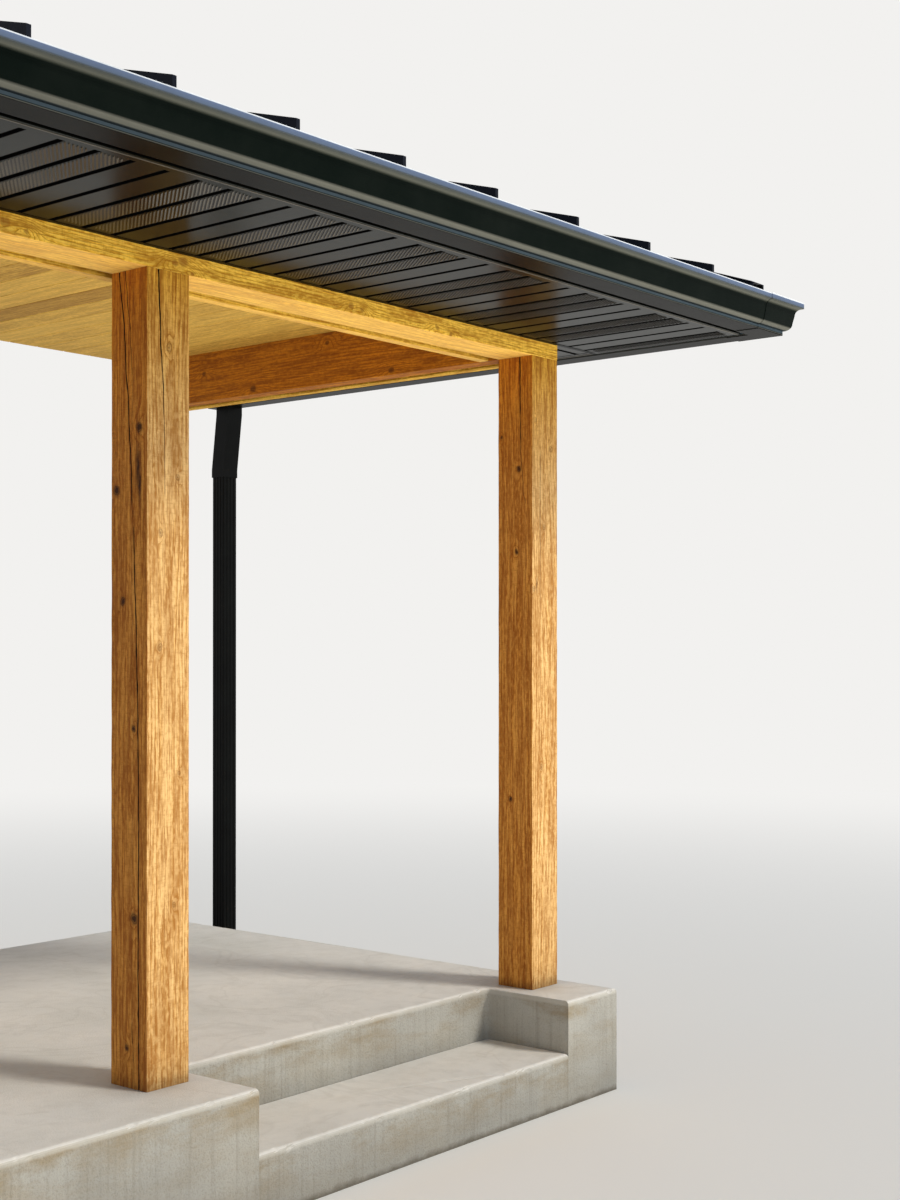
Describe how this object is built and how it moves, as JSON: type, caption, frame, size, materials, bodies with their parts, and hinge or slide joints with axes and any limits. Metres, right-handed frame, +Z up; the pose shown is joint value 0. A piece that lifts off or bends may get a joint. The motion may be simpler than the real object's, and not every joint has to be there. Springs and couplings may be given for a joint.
{
  "type": "porch canopy",
  "caption": "Entrance porch canopy: hipped standing-seam roof with gutters on square timber posts and a stepped concrete stoop, open at the back where it meets the house wall.",
  "frame": {"origin": "on the ground, under the middle of the overall box", "axes": "+X along the house wall to the right as seen from the garden, +Y from the garden towards the house wall, +Z up"},
  "size_m": [4.6326, 3.0408, 3.6027],
  "materials": {
    "stoop_concrete": "smooth trowelled concrete top, sandy textured front",
    "stained_timber": "golden brown stained softwood with open grain and drying checks",
    "side_beam_timber": "dark golden brown stained softwood",
    "beam_filler": "dark stained board in shade",
    "framing_lumber": "bare planed softwood",
    "ceiling_board": "satin golden brown stained boards",
    "roof_sheathing": "bare pressed wood-chip board",
    "roof_metal": "satin black factory paint on sheet steel",
    "fascia_metal": "satin black painted cover on timber boards",
    "soffit_metal": "satin black painted aluminium, vented ribs in pairs",
    "gutter_metal": "gloss black painted aluminium",
    "downspout_metal": "gloss black painted aluminium"
  },
  "bodies": {
    "root": {"porch_slab": "stoop_concrete", "lower_step": "stoop_concrete", "left_post": "stained_timber", "middle_post": "stained_timber", "right_post": "stained_timber", "front_beam": "stained_timber", "front_inner_board": "stained_timber", "left_side_beam": "side_beam_timber", "right_side_beam": "side_beam_timber", "side_outer_boards": "stained_timber", "beam_fillers": "beam_filler", "rafter_plate": "framing_lumber", "wall_ledger": "framing_lumber", "ceiling_joists": "framing_lumber", "ceiling_boards": "ceiling_board", "front_rafters": "framing_lumber", "left_rafters": "framing_lumber", "right_rafters": "framing_lumber", "hip_rafters": "framing_lumber", "ridge_board": "framing_lumber", "front_deck": "roof_sheathing", "left_deck": "roof_sheathing", "right_deck": "roof_sheathing", "front_roof_panels": "roof_metal", "left_roof_panels": "roof_metal", "right_roof_panels": "roof_metal", "left_hip_cap": "roof_metal", "right_hip_cap": "roof_metal", "ridge_cap": "roof_metal", "front_fascia": "fascia_metal", "left_fascia": "fascia_metal", "right_fascia": "fascia_metal", "front_soffit": "soffit_metal", "left_soffit": "soffit_metal", "right_soffit": "soffit_metal", "soffit_channels": "soffit_metal", "front_gutter": "gutter_metal", "left_gutter": "gutter_metal", "right_gutter": "gutter_metal", "left_gutter_corner": "gutter_metal", "right_gutter_corner": "gutter_metal", "left_offset_pipe": "downspout_metal", "right_offset_pipe": "downspout_metal", "left_downspout": "downspout_metal", "right_downspout": "downspout_metal"}
  },
  "joints": []
}
